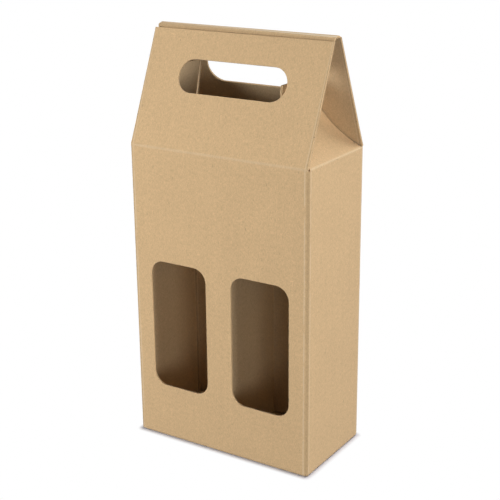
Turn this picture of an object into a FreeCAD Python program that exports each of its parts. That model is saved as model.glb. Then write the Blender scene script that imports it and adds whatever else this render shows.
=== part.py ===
import FreeCAD, Part
import math
import os
import re

import Sketcher

# A carry box with two cells, folded from one sheet of brown micro-flute board.
# Millimetres, +Z up. The origin is at the middle of the base, the front wall with its
# two windows faces -Y, and +X is to the right of a person who looks at that wall.
#
# The walls, the base and the side flaps are one folded solid. The two gable panels swing
# on the folds at the shoulder, so each is a solid in its own frame: its origin on the
# fold, its Z up the panel, and its outer face on the XZ plane. A divider stands inside.

DRIVING_SIZES = [
    ("board", 1.8, "thickness of the board"),
    ("width", 180, "outer width along the front wall"),
    ("depth", 95, "outer depth from front to back"),
    ("shoulder_height", 276, "height of the folds that the gable swings on"),
    ("fold_radius", 3, "outer radius of an upright fold"),
    ("base_radius", 2.4, "outer radius of the folds round the base"),
    ("front_gable_length", 106.5, "front gable panel, from its fold to its cut top edge"),
    ("back_gable_length", 109.5, "back gable panel, from its fold to the ridge"),
    ("ridge_run", 9.7, "level distance from the front panel's top edge to the ridge"),
    ("ridge_slope", 12, "degrees that the ridge strip rises towards the back"),
    ("ridge_radius", 2.3, "outer radius of the two folds of the ridge strip"),
    ("tuck_length", 24, "tuck flap, from the ridge strip down behind the front panel"),
    ("tuck_taper", 7, "how far the tuck flap narrows at each end"),
    ("front_inset", 1, "front panel's side edge, in from the box's side"),
    ("back_inset", 0.3, "back panel's side edge, in from the box's side"),
    ("strip_inset", 1.6, "ridge strip's end, in from the box's side"),
    ("fold_gap", 0.2, "clearance between a wall and the panel that swings on it"),
    ("panel_gap", 0.3, "clearance between the front panel and the tuck flap"),
    ("side_gap", 0.8, "clearance between a side flap and the gable panels"),
    ("window_width", 58.5, "each window"),
    ("window_height", 120.5, "each window"),
    ("window_pitch", 84.5, "from the middle of one window to the middle of the other"),
    ("window_sill", 52, "from the base to the lower edge of a window"),
    ("window_radius", 13, "corner radius of a window"),
    ("handle_length", 108, "hand hole in the front panel"),
    ("handle_height", 29.5, "both hand holes"),
    ("handle_rise", 65.4, "from the front fold to the middle of the front hand hole"),
    ("back_handle_length", 103, "hand hole in the back panel"),
    ("back_handle_rise", 68, "from the back fold to the middle of the back hand hole"),
    ("side_flap_length", 76, "each side flap, from its fold to its free edge"),
    ("right_flap_root", 27, "degrees above level of the right side flap at its fold"),
    ("right_flap_tip", 82, "degrees above level of the right side flap past its bow"),
    ("right_flap_bow", 75, "radius of the bow that the right side flap takes"),
    ("left_flap_root", 60, "degrees above level of the left side flap at its fold"),
    ("left_flap_tip", 66, "degrees above level of the left side flap past its bow"),
    ("left_flap_bow", 300, "radius of the bow that the left side flap takes"),
    ("glue_width", 28, "glue strip inside the seam corner"),
    ("glue_end", 6, "how far the glue strip's ends slant"),
    ("seam_depth", 1.5, "open groove beside the raw edge at the seam corner"),
    ("inner_flap_length", 64, "inner base flaps, from each side wall"),
    ("inner_flap_margin", 1, "inner base flaps and tongue, clear of walls and each other"),
    ("inner_flap_slant", 14, "cut corners of the inner base flaps"),
    ("lock_gap", 0.6, "slit between the outer base flaps"),
    ("lock_side", -12, "depth position of the slit at the sides"),
    ("lock_tongue", 20, "depth position of the slit at the locking tongue"),
    ("tongue_width", 46, "locking tongue of the base, between the inner flaps"),
    ("tongue_slant", 12, "how far the tongue's sides slant"),
    ("divider_height", 190, "divider, from the base's inside"),
    ("divider_foot", 60, "divider's foot along the back wall"),
    ("divider_gap", 0.5, "clearance between the divider and the walls"),
    ("divider_fold_radius", 1.2, "inner radius of the divider's fold"),
    ("divider_corner", 18, "corner cut off the divider's top, at the front"),
]

WORKED_OUT_SIZES = [
    ("lean", "asin((depth - ridge_run) / (front_gable_length + back_gable_length)) / 1deg",
     "angle of both gable panels from upright"),
    ("half_lean", "lean / 2", "angle of the mitre at the shoulder folds"),
    ("ridge_turn", "lean - ridge_slope", "angle that the strip makes with the panel's normal"),
    ("back_fold", "90 - lean + ridge_slope", "turn from the back panel to the ridge strip"),
    ("front_fold", "90 - lean - ridge_slope", "turn from the ridge strip to the tuck flap"),
    ("back_tangent", "ridge_radius * tan(back_fold / 2)", "fold corner to end of its arc"),
    ("front_tangent", "ridge_radius * tan(front_fold / 2)", "fold corner to end of its arc"),
    ("ridge_width", "(depth * cos(lean) - back_gable_length * sin(2 * lean) - board - panel_gap)"
     " / cos(lean + ridge_slope)", "ridge strip, from corner to corner"),
    ("base_wall", "base_radius + board", "height at which the straight walls begin"),
    ("base_inside", "2 * board", "top of the two layers of the base"),
    ("inner_radius", "fold_radius - board", "inner radius of an upright fold"),
]

# The base folds stay a little rounder than the upright folds that they meet, and the two
# tolerances only sort and test shapes.
BASE_FOLD_SHARE = 0.95
SAME_LEVEL = 1e-6
LEAST_CUT = 1e-3

SIZE_NAMES = {name for name, _, _ in DRIVING_SIZES + WORKED_OUT_SIZES}
SHEET_NAME = "Sizes"

doc = FreeCAD.newDocument("BottleBox")


def bound(text):
    """Puts the sheet's name in front of every size that the expression uses."""
    def full_name(match):
        word = match.group(0)
        return SHEET_NAME + "." + word if word in SIZE_NAMES else word
    return re.sub(r"[a-z_]+", full_name, text)


def make_sheet():
    """Writes every size into the spreadsheet, with its alias and its meaning."""
    sheet = doc.addObject("Spreadsheet::Sheet", SHEET_NAME)
    rows = [(name, str(size), note) for name, size, note in DRIVING_SIZES]
    rows += [(name, "=" + formula, note) for name, formula, note in WORKED_OUT_SIZES]
    for row, (name, content, note) in enumerate(rows, start=1):
        sheet.set("A%d" % row, name)
        sheet.set("B%d" % row, content)
        sheet.set("C%d" % row, note)
        sheet.setAlias("B%d" % row, name)
    doc.recompute()
    return sheet


SHEET = make_sheet()


def measure(text):
    """Gives the number that an expression of sizes has now."""
    answer = SHEET.evalExpression(text)
    return getattr(answer, "Value", answer)


def spot(corner):
    """Gives the sketch point of a corner, whose first two items are expressions."""
    return FreeCAD.Vector(measure(corner[0]), measure(corner[1]), 0)


def arc_between(start, end, radius, turn):
    """Makes the short arc from start to end; turn is 1 to the left and -1 to the right."""
    if turn < 0:
        start, end = end, start
    chord = end - start
    left = FreeCAD.Vector(-chord.y, chord.x, 0).normalize()
    reach = math.sqrt(max(radius ** 2 - (chord.Length / 2) ** 2, 0))
    centre = (start + end) / 2 + left * reach
    first, last = (math.atan2(p.y - centre.y, p.x - centre.x) for p in (start, end))
    return Part.ArcOfCircle(Part.Circle(centre, FreeCAD.Vector(0, 0, 1), radius), first, last)


def tie(sketch, kind, items, text):
    """Adds a constraint of that kind and binds its value to an expression."""
    index = sketch.addConstraint(Sketcher.Constraint(kind, *items, float(measure(text))))
    sketch.setExpression("Constraints[%d]" % index, bound(text))


def outline(sketch, corners):
    """Draws a closed outline through corners that are nailed to expressions.

    A corner is (across, up). With a radius and a turn after them, the stretch to the next
    corner is an arc, which turns to the left with 1 and to the right with -1.
    """
    first = sketch.GeometryCount
    count = len(corners)
    ends = []
    for index, corner in enumerate(corners):
        start, end = spot(corner), spot(corners[(index + 1) % count])
        if len(corner) == 2:
            sketch.addGeometry(Part.LineSegment(start, end), False)
            ends.append((1, 2))
        else:
            sketch.addGeometry(arc_between(start, end, measure(corner[2]), corner[3]), False)
            ends.append((1, 2) if corner[3] > 0 else (2, 1))
    for index, corner in enumerate(corners):
        this, following = first + index, first + (index + 1) % count
        begin, finish = ends[index]
        next_begin = ends[(index + 1) % count][0]
        sketch.addConstraint(
            Sketcher.Constraint("Coincident", this, finish, following, next_begin))
        tie(sketch, "DistanceX", (-1, 1, this, begin), corner[0])
        tie(sketch, "DistanceY", (-1, 1, this, begin), corner[1])
        if len(corner) == 4:
            tie(sketch, "Radius", (this,), corner[2])


def rounded_rectangle(sketch, left, right, low, high, radius):
    """Draws a rectangle whose four corners have the same radius."""
    outline(sketch, [
        (left + " + " + radius, low),
        (right + " - " + radius, low, radius, 1),
        (right, low + " + " + radius),
        (right, high + " - " + radius, radius, 1),
        (right + " - " + radius, high),
        (left + " + " + radius, high, radius, 1),
        (left, high + " - " + radius),
        (left, low + " + " + radius, radius, 1),
    ])


def hand_hole(sketch, length, height, middle):
    """Draws a level slot with round ends, centred on the sketch's upright axis."""
    radius, rise = measure(height) / 2, measure(middle)
    run = measure(length) / 2 - radius
    up = FreeCAD.Vector(0, 0, 1)
    quarter = math.pi / 2
    left_end = Part.Circle(FreeCAD.Vector(-run, rise, 0), up, radius)
    right_end = Part.Circle(FreeCAD.Vector(run, rise, 0), up, radius)
    low = [FreeCAD.Vector(side * run, rise - radius, 0) for side in (-1, 1)]
    high = [FreeCAD.Vector(side * run, rise + radius, 0) for side in (1, -1)]
    first = sketch.GeometryCount
    sketch.addGeometry(Part.ArcOfCircle(left_end, quarter, 3 * quarter), False)
    sketch.addGeometry(Part.LineSegment(*low), False)
    sketch.addGeometry(Part.ArcOfCircle(right_end, -quarter, quarter), False)
    sketch.addGeometry(Part.LineSegment(*high), False)
    for index in range(4):
        following = first + (index + 1) % 4
        sketch.addConstraint(Sketcher.Constraint("Tangent", first + index, 2, following, 1))
    sketch.addConstraint(Sketcher.Constraint("Equal", first, first + 2))
    reach = "(%s - %s) / 2" % (length, height)
    tie(sketch, "Radius", (first,), height + " / 2")
    tie(sketch, "DistanceX", (-1, 1, first, 3), "-" + reach)
    tie(sketch, "DistanceX", (-1, 1, first + 2, 3), reach)
    tie(sketch, "DistanceY", (-1, 1, first, 3), middle)
    tie(sketch, "DistanceY", (-1, 1, first + 2, 3), middle)


def new_body(label):
    """Makes the body of one sub-part; its label names its file."""
    body = doc.addObject("PartDesign::Body", label)
    body.Label = label
    return body


def new_sketch(body, plane, name, lift=None):
    """Adds a sketch on one of the body's origin planes, lifted along the plane's normal."""
    support = next(item for item in body.Origin.OriginFeatures if item.Role == plane)
    sketch = body.newObject("Sketcher::SketchObject", name)
    sketch.AttachmentSupport = [(support, "")]
    sketch.MapMode = "FlatFace"
    if lift:
        sketch.setExpression("AttachmentOffset.Base.z", bound(lift))
    return sketch


def sweep_feature(body, kind, sketch, name, length, side):
    """Adds a Pad or a Pocket. Side is forward, reversed or both; length None is through."""
    feature = body.newObject("PartDesign::" + kind, name)
    feature.Profile = sketch
    feature.SideType = "Symmetric" if side == "both" else "One side"
    feature.Reversed = side == "reversed"
    if length is None:
        feature.Type = "ThroughAll"
    else:
        feature.setExpression("Length", bound(length))
    return feature


def pad(body, sketch, name, length, side="forward"):
    """Adds material along the sketch's normal: +Z, +X, or -Y on the XZ plane."""
    return sweep_feature(body, "Pad", sketch, name, length, side)


def pocket(body, sketch, name, length=None, side="forward"):
    """Cuts against the sketch's normal: -Z, -X, or +Y on the XZ plane."""
    return sweep_feature(body, "Pocket", sketch, name, length, side)


def lowest_edges(shape):
    """Names the edges that lie flat at the lowest level of a shape."""
    floor_level = shape.BoundBox.ZMin + SAME_LEVEL
    return ["Edge%d" % number for number, edge in enumerate(shape.Edges, start=1)
            if edge.BoundBox.ZMax < floor_level]


def add_base_block(body):
    """The lowest part of the box as a block, with the round folds of its base."""
    sketch = new_sketch(body, "XY_Plane", "BasePlan")
    rounded_rectangle(sketch, "-width / 2", "width / 2", "-depth / 2", "depth / 2", "fold_radius")
    block = pad(body, sketch, "BaseBlock", "base_wall")
    doc.recompute()
    folds = body.newObject("PartDesign::Fillet", "BaseFolds")
    folds.Base = (block, lowest_edges(block.Shape))
    folds.setExpression("Radius", bound("min(base_radius; fold_radius * %s)" % BASE_FOLD_SHARE))


def add_walls(body):
    """The upright walls, wrapped from one sheet that closes at the back left corner.

    There the back wall ends in a raw edge that lies over the glue strip, and a narrow
    groove is left between that edge and the round fold of the glue strip.
    """
    sketch = new_sketch(body, "XY_Plane", "WallPlan", "base_wall")
    groove_drop = "(fold_radius - sqrt(fold_radius ^ 2 - (fold_radius - seam_depth) ^ 2))"
    outline(sketch, [
        ("-width / 2 + fold_radius", "-depth / 2"),
        ("width / 2 - fold_radius", "-depth / 2", "fold_radius", 1),
        ("width / 2", "-depth / 2 + fold_radius"),
        ("width / 2", "depth / 2 - fold_radius", "fold_radius", 1),
        ("width / 2 - fold_radius", "depth / 2"),
        ("-width / 2", "depth / 2"),
        ("-width / 2", "depth / 2 - board"),
        ("-width / 2 + seam_depth", "depth / 2 - board"),
        ("-width / 2 + seam_depth", "depth / 2 - board - " + groove_drop, "fold_radius", 1),
        ("-width / 2", "depth / 2 - board - fold_radius"),
        ("-width / 2", "-depth / 2 + fold_radius", "fold_radius", 1),
    ])
    outline(sketch, [
        ("-width / 2 + fold_radius", "-depth / 2 + board"),
        ("width / 2 - fold_radius", "-depth / 2 + board", "inner_radius", 1),
        ("width / 2 - board", "-depth / 2 + fold_radius"),
        ("width / 2 - board", "depth / 2 - fold_radius", "inner_radius", 1),
        ("width / 2 - fold_radius", "depth / 2 - board"),
        ("-width / 2 + glue_width", "depth / 2 - board"),
        ("-width / 2 + glue_width", "depth / 2 - 2 * board"),
        ("-width / 2 + fold_radius", "depth / 2 - 2 * board", "inner_radius", 1),
        ("-width / 2 + board", "depth / 2 - board - fold_radius"),
        ("-width / 2 + board", "-depth / 2 + fold_radius", "inner_radius", 1),
    ])
    pad(body, sketch, "Walls", "shoulder_height - base_wall")


def cut_base_hollow(body):
    """Hollows the base block down to one layer of board."""
    sketch = new_sketch(body, "XY_Plane", "BaseHollowPlan", "board")
    rounded_rectangle(sketch, "-width / 2 + board", "width / 2 - board",
                      "-depth / 2 + board", "depth / 2 - board", "inner_radius")
    pocket(body, sketch, "BaseHollow", "base_wall - board", "reversed")


def cut_glue_strip_ends(body):
    """Slants both ends of the glue strip, which is shorter than the wall it is glued to."""
    sketch = new_sketch(body, "XZ_Plane", "GlueEnds")
    edge, free = "-width / 2 + fold_radius", "-width / 2 + glue_width + board"
    outline(sketch, [
        (edge, "shoulder_height + board"), (edge, "shoulder_height - glue_end"),
        (free, "shoulder_height - 2 * glue_end"), (free, "shoulder_height + board"),
    ])
    outline(sketch, [
        (edge, "base_inside"), (free, "base_inside"), (free, "base_inside + 2 * glue_end"),
        (edge, "base_inside + glue_end"),
    ])
    pocket(body, sketch, "GlueStripEnds", "depth / 2 - board")


def add_inner_base_layer(body):
    """The inner layer of the base: a flap from each side wall and the locking tongue."""
    sketch = new_sketch(body, "XY_Plane", "InnerBaseLayer", "board")
    reach = "(depth / 2 - board - inner_flap_margin)"
    for side, ends in (("-", ("-", "")), ("", ("", "-"))):
        root = side + "(width / 2 - board)"
        shoulder = side + "(width / 2 - board - inner_flap_length + inner_flap_slant)"
        tip = side + "(width / 2 - board - inner_flap_length)"
        outline(sketch, [
            (root, ends[0] + "(" + reach + ")"),
            (shoulder, ends[0] + "(" + reach + ")"),
            (tip, ends[0] + "(" + reach + " - inner_flap_slant)"),
            (tip, ends[1] + "(" + reach + " - inner_flap_slant)"),
            (shoulder, ends[1] + "(" + reach + ")"),
            (root, ends[1] + "(" + reach + ")"),
        ])
    outline(sketch, [
        ("-tongue_width / 2", "-depth / 2 + board + inner_flap_margin"),
        ("tongue_width / 2", "-depth / 2 + board + inner_flap_margin"),
        ("tongue_width / 2", "lock_tongue"),
        ("tongue_width / 2 - tongue_slant", "lock_tongue + tongue_slant"),
        ("-tongue_width / 2 + tongue_slant", "lock_tongue + tongue_slant"),
        ("-tongue_width / 2", "lock_tongue"),
    ])
    pad(body, sketch, "InnerBaseFlaps", "board")


def cut_base_lock(body):
    """The slit where the two outer base flaps meet, which steps round the locking tongue."""
    sketch = new_sketch(body, "XY_Plane", "BaseLock")
    end = "width / 2 - base_wall"
    slant = "tongue_width / 2 + tongue_slant"
    near = [
        ("-(%s)" % end, "lock_side"), ("-(%s)" % slant, "lock_side"),
        ("-tongue_width / 2", "lock_tongue"), ("tongue_width / 2", "lock_tongue"),
        (slant, "lock_side"), (end, "lock_side"),
    ]
    far = [(across, up + " + lock_gap") for across, up in reversed(near)]
    outline(sketch, near + far)
    pocket(body, sketch, "BaseLockSlit", "board", "reversed")


def cut_windows(body):
    """The two rounded windows of the front wall."""
    sketch = new_sketch(body, "XZ_Plane", "Windows")
    for middle in ("-window_pitch / 2", "window_pitch / 2"):
        rounded_rectangle(sketch, middle + " - window_width / 2", middle + " + window_width / 2",
                          "window_sill", "window_sill + window_height", "window_radius")
    pocket(body, sketch, "WindowCuts", side="reversed")


def bowed_section(side, root, tip, bow):
    """Lists the section of a side flap that leans in from its fold and bows upwards.

    Side is 1 at the right wall and -1 at the left one. The upper face starts on the fold
    at the root angle above level, turns through an arc to the tip angle and runs straight.
    The lower face runs one board below it.
    """
    straight = "(side_flap_length - %s * (%s - %s) * pi / 180)" % (bow, tip, root)
    bow_run = "%s * (sin(%s) - sin(%s))" % (bow, tip, root)
    bow_rise = "%s * (cos(%s) - cos(%s))" % (bow, root, tip)
    run = "%s + %s * cos(%s)" % (bow_run, straight, tip)
    rise = "%s + %s * sin(%s)" % (bow_rise, straight, tip)
    tip_below = (" + board * sin(%s)" % tip, " - board * cos(%s)" % tip)
    steps = [
        ("0", "0", bow, -side),
        (bow_run, bow_rise),
        (run, rise),
        (run + tip_below[0], rise + tip_below[1]),
        (bow_run + tip_below[0], bow_rise + tip_below[1], bow + " + board", side),
        ("board * sin(%s)" % root, "-board * cos(%s)" % root),
    ]
    across = "width / 2 - (%s)" if side > 0 else "-width / 2 + (%s)"
    return [(across % inward, "shoulder_height + (%s)" % up) + tuple(arc)
            for inward, up, *arc in steps]


def add_side_flaps(body):
    """The two side flaps, which lean in under the gable by different amounts."""
    sketch = new_sketch(body, "XZ_Plane", "SideFlapSections")
    outline(sketch, bowed_section(1, "right_flap_root", "right_flap_tip", "right_flap_bow"))
    outline(sketch, bowed_section(-1, "left_flap_root", "left_flap_tip", "left_flap_bow"))
    pad(body, sketch, "SideFlaps", "depth - 2 * fold_radius", "both")


def cut_gable_room(body):
    """Mitres the tops of the front and back walls and cuts the side flaps to the gable.

    The mitre halves the angle between a wall and its panel. The flaps end at the side gap
    from the panels' inner faces.
    """
    sketch = new_sketch(body, "YZ_Plane", "GableRoom")
    inner = "(board + side_gap)"
    drop = "(%s * tan(half_lean) + fold_gap / 2)" % inner
    over = "2 * fold_radius"
    for front, side in ((True, "-"), (False, "")):
        inward = " + " if front else " - "
        outward = " - " if front else " + "
        corners = [
            (side + "depth / 2" + outward + over,
             "shoulder_height + %s * tan(half_lean) - fold_gap / 2" % over),
            (side + "depth / 2" + inward + inner, "shoulder_height - " + drop),
            (side + "depth / 2" + inward + inner + inward + "side_flap_length * sin(lean)",
             "shoulder_height - " + drop + " + side_flap_length * cos(lean)"),
            (side + "depth / 2" + outward + over,
             "shoulder_height - " + drop + " + side_flap_length * cos(lean)"),
        ]
        outline(sketch, corners if front else corners[::-1])
    pocket(body, sketch, "GableRoomCut", side="both")


def make_carton():
    """The folded sheet: walls, base, glue strip and side flaps in one solid."""
    body = new_body("carton")
    add_base_block(body)
    add_walls(body)
    cut_base_hollow(body)
    cut_glue_strip_ends(body)
    add_inner_base_layer(body)
    cut_base_lock(body)
    cut_windows(body)
    add_side_flaps(body)
    cut_gable_room(body)
    return body


def swing_panel(body, back, turn):
    """Puts a gable panel's own frame on its shoulder fold and leans it inwards."""
    body.Placement.Rotation = FreeCAD.Rotation(FreeCAD.Vector(1, 0, 0), 1)
    body.setExpression("Placement.Base.y", bound(back))
    body.setExpression("Placement.Base.z", bound("shoulder_height"))
    body.setExpression("Placement.Rotation.Angle", bound(turn))


def make_front_gable():
    """The front gable panel: a plain board with a cut top edge and a hand hole."""
    body = new_body("front_gable")
    section = new_sketch(body, "YZ_Plane", "FrontSection")
    outline(section, [
        ("0", "fold_gap / 2"), ("board", "fold_gap / 2 + board * tan(half_lean)"),
        ("board", "front_gable_length"), ("0", "front_gable_length"),
    ])
    pad(body, section, "FrontPanel", "width - 2 * front_inset", "both")
    hole = new_sketch(body, "XZ_Plane", "FrontHandHole")
    hand_hole(hole, "handle_length", "handle_height", "handle_rise")
    pocket(body, hole, "FrontHandHoleCut")
    swing_panel(body, "-depth / 2", "-lean")
    return body


def ridge_section():
    """Lists the section of the back panel, the ridge strip and the tuck flap.

    The outer face goes up the panel, turns through the back fold into the strip and through
    the front fold into the tuck flap. The inner face comes back one board inside it.
    """
    strip = ("-cos(ridge_turn)", "sin(ridge_turn)")
    strip_in = (" - board * sin(ridge_turn)", " - board * cos(ridge_turn)")
    tuck = ("-sin(2 * lean)", "-cos(2 * lean)")
    tuck_in = (" + board * cos(2 * lean)", " - board * sin(2 * lean)")

    def on_strip(distance, offset=("", "")):
        return ("%s * (%s)%s" % (strip[0], distance, offset[0]),
                "back_gable_length + %s * (%s)%s" % (strip[1], distance, offset[1]))

    def on_tuck(distance, offset=("", "")):
        corner = on_strip("ridge_width")
        return ("%s + %s * (%s)%s" % (corner[0], tuck[0], distance, offset[0]),
                "%s + %s * (%s)%s" % (corner[1], tuck[1], distance, offset[1]))

    inner_bend = "ridge_radius - board"
    return [
        ("0", "fold_gap / 2"),
        ("0", "back_gable_length - back_tangent", "ridge_radius", 1),
        on_strip("back_tangent"),
        on_strip("ridge_width - front_tangent") + ("ridge_radius", 1),
        on_tuck("front_tangent"),
        on_tuck("tuck_length"),
        on_tuck("tuck_length", tuck_in),
        on_tuck("front_tangent", tuck_in) + (inner_bend, -1),
        on_strip("ridge_width - front_tangent", strip_in),
        on_strip("back_tangent", strip_in) + (inner_bend, -1),
        ("-board", "back_gable_length - back_tangent"),
        ("-board", "fold_gap / 2 + board * tan(half_lean)"),
    ]


def cut_tuck_ends(body):
    """Sets the strip's ends in from the panel's edges and narrows the tuck flap."""
    sketch = new_sketch(body, "XZ_Plane", "TuckEnds", "board + panel_gap")
    shoulder = "width / 2 - strip_inset"
    low = "back_gable_length - tuck_length"
    for side, order in (("", 1), ("-", -1)):
        corners = [
            (side + "(%s - tuck_taper)" % shoulder, low),
            (side + "(width / 2 + board)", low),
            (side + "(width / 2 + board)", "back_gable_length + ridge_width"),
            (side + "(%s)" % shoulder, "back_gable_length + ridge_width"),
            (side + "(%s)" % shoulder, "back_gable_length - board"),
        ]
        outline(sketch, corners[::order])
    pocket(body, sketch, "TuckEndsCut", side="reversed")


def make_back_gable():
    """The back gable panel with its hand hole, the ridge strip and the tuck flap."""
    body = new_body("back_gable")
    section = new_sketch(body, "YZ_Plane", "BackSection")
    outline(section, ridge_section())
    pad(body, section, "BackPanel", "width - 2 * back_inset", "both")
    hole = new_sketch(body, "XZ_Plane", "BackHandHole")
    hand_hole(hole, "back_handle_length", "handle_height", "back_handle_rise")
    pocket(body, hole, "BackHandHoleCut", "2 * board", "reversed")
    cut_tuck_ends(body)
    swing_panel(body, "depth / 2", "lean")
    return body


def make_divider():
    """The divider: a wall between the two cells and a foot along the back wall."""
    body = new_body("divider")
    plan = new_sketch(body, "XY_Plane", "DividerPlan", "base_inside")
    near = "-depth / 2 + board + divider_gap"
    far = "depth / 2 - board - divider_gap"
    bend, outer_bend = "divider_fold_radius", "(divider_fold_radius + board)"
    outline(plan, [
        ("-board / 2", near), ("board / 2", near),
        ("board / 2", far + " - " + outer_bend, bend, -1),
        ("board / 2 + " + bend, far + " - board"),
        ("board / 2 + divider_foot", far + " - board"),
        ("board / 2 + divider_foot", far),
        ("board / 2 + " + bend, far, outer_bend, 1),
        ("-board / 2", far + " - " + outer_bend),
    ])
    pad(body, plan, "DividerBoard", "divider_height")
    corner = new_sketch(body, "YZ_Plane", "DividerCorner")
    top = "base_inside + divider_height"
    outline(corner, [
        (near + " - board", top + " - divider_corner"),
        (near, top + " - divider_corner"),
        (near + " + divider_corner", top),
        (near + " + divider_corner", top + " + board"),
        (near + " - board", top + " + board"),
    ])
    pocket(body, corner, "DividerCornerCut", side="both")
    return body


def check_document():
    """Stops if any object failed, or if a pocket removed nothing."""
    for item in doc.Objects:
        if "Invalid" in item.State or "Error" in item.State:
            raise RuntimeError("%s is %s" % (item.Name, item.State))
        if item.TypeId == "PartDesign::Pocket":
            before = item.BaseFeature.Shape.Volume
            if item.Shape.Volume > before - LEAST_CUT:
                raise RuntimeError("%s cuts nothing" % item.Name)


def write_parts(bodies):
    """Writes each sub-part's solid to a STEP file with the sub-part's name."""
    os.makedirs("parts", exist_ok=True)
    for body in bodies:
        shape = body.Shape
        if shape.isNull() or not shape.isValid() or len(shape.Solids) != 1:
            raise RuntimeError("%s is not one valid solid" % body.Label)
        shape.exportStep("parts/%s.step" % body.Label)
        box = shape.BoundBox
        print("%-12s %8.0f mm3  x %.1f..%.1f  y %.1f..%.1f  z %.1f..%.1f" % (
            body.Label, shape.Volume, box.XMin, box.XMax, box.YMin, box.YMax,
            box.ZMin, box.ZMax))


def main():
    bodies = [make_carton(), make_front_gable(), make_back_gable(), make_divider()]
    doc.recompute()
    check_document()
    write_parts(bodies)


main()
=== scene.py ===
# %% [markdown]
# # A bottle shipping box, folded from one sheet
#
# The real box is a flat sheet of brown micro-flute board. A die cuts its outline, its
# windows and its hand holes, and presses the lines that it folds on. This script works the
# same way: each piece is drawn flat, in the sheet's own two coordinates, and a function
# folds it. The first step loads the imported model, which holds the sizes and the joints.

# %% Load the fixed frame
import math
import bpy
import numpy as np
from mathutils import Matrix, Vector


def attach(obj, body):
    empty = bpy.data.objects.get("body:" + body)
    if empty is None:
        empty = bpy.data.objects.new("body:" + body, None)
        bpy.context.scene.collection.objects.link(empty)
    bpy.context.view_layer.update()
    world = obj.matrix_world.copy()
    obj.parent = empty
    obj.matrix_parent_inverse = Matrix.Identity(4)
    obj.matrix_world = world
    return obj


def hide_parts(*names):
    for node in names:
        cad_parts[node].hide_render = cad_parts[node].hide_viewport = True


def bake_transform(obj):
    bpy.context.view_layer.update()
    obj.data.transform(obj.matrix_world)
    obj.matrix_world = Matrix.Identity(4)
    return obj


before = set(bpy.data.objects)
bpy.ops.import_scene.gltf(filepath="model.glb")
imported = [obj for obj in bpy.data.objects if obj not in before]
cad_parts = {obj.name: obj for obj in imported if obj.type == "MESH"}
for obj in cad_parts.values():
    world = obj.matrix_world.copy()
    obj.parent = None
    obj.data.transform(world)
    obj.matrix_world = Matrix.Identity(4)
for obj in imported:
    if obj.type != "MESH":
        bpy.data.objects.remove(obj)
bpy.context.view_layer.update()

# %% [markdown]
# ## The sizes
#
# Blender works in metres and a box maker in millimetres, so every length here is a number
# of millimetres times MM. They repeat the sizes of the solids, so each visible piece lies
# where its solid is and the joints' axes run along its folds.

# %% The sizes of the box
MM = 0.001
BOARD = 1.8 * MM
WIDTH, DEPTH, SHOULDER = 180 * MM, 95 * MM, 276 * MM
CORNER_RADIUS, BASE_RADIUS, RIDGE_RADIUS = 3 * MM, 2.4 * MM, 2.3 * MM
FRONT_GABLE, BACK_GABLE = 106.5 * MM, 109.5 * MM
RIDGE_RUN, RIDGE_SLOPE = 9.7 * MM, math.radians(12)
PANEL_GAP, SIDE_GAP, LOCK_GAP = 0.3 * MM, 0.8 * MM, 0.6 * MM
LEAN = math.asin((DEPTH - RIDGE_RUN) / (FRONT_GABLE + BACK_GABLE))
print("the gable panels lean", round(math.degrees(LEAN), 2), "degrees")

# %% [markdown]
# ## A line that runs straight and bends
#
# Seen from above, the walls are one line that turns four corners. Seen from the side, a
# wall, its base flap and its gable flap are one line too. Both come from the same helper: a
# list of steps, each with a length and a turn. A curve object could do this, but a function
# gives exact distances along the sheet, which later place the creases and the paper grain.

# %% A helper for folded lines
def folded_line(start, heading, steps):
    """Makes a function from distances to points and headings along a folded line.

    Each step is (length, turn), and the heading turns evenly over it. With k = turn divided
    by length, the way covered after a distance d is d * sin(k d / 2) / (k d / 2), in the
    direction of the heading half way. That is a straight run for k = 0 and else an arc.
    """
    lengths, turns = np.array(steps, float).T
    ends = np.concatenate([[0], np.cumsum(lengths)])
    headings = heading + np.concatenate([[0], np.cumsum(turns)])
    half = headings[:-1] + turns / 2
    chords = (lengths * np.sinc(turns / 2 / np.pi))[:, None]
    ways = chords * np.stack([np.cos(half), np.sin(half)], 1)
    corners = np.array(start, float) + np.concatenate([np.zeros((1, 2)), np.cumsum(ways, 0)])

    def at(distance):
        step = np.clip(np.searchsorted(ends, distance, side="right") - 1, 0, len(lengths) - 1)
        past = distance - ends[step]
        turned = turns[step] / lengths[step] * past
        way = headings[step] + turned / 2
        reach = (past * np.sinc(turned / 2 / np.pi))[:, None]
        points = corners[step] + reach * np.stack([np.cos(way), np.sin(way)], 1)
        return points, headings[step] + turned

    return at, ends


def fold_step(radius, degrees):
    """The step of a round fold: its outer length and its turn."""
    turn = math.radians(degrees)
    return (radius * abs(turn), turn)


# %% [markdown]
# ## The plan of the walls
#
# The sheet starts at the glue strip, which lies inside the back wall. It goes round by the
# left, front and right walls and closes over the glue strip with the back wall. The
# distance along this line is the sheet's first coordinate, `u`.

# %% The plan line
CORNER = fold_step(CORNER_RADIUS, 90)
GLUE_RUN, GLUE_LOW, GLUE_HIGH, GLUE_SLANT = 25 * MM, 10 * MM, 262 * MM, 0.05
GLUE_PLAY = 0.05 * MM
PLAN_STEPS = [
    (GLUE_RUN, 0), CORNER,
    (DEPTH - BOARD - GLUE_PLAY - 2 * CORNER_RADIUS, 0), CORNER,
    (WIDTH - 2 * CORNER_RADIUS, 0), CORNER,
    (DEPTH - 2 * CORNER_RADIUS, 0), CORNER,
    (WIDTH - CORNER_RADIUS, 0),
]
PLAN_START = (-WIDTH / 2 + CORNER_RADIUS + GLUE_RUN, DEPTH / 2 - BOARD - GLUE_PLAY)
plan_line, plan_ends = folded_line(PLAN_START, math.pi, PLAN_STEPS)
WALLS = {"glue": 0, "left": 2, "front": 4, "right": 6, "back": 8}
wall_span = {name: (plan_ends[i], plan_ends[i + 1]) for name, i in WALLS.items()}
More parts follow.
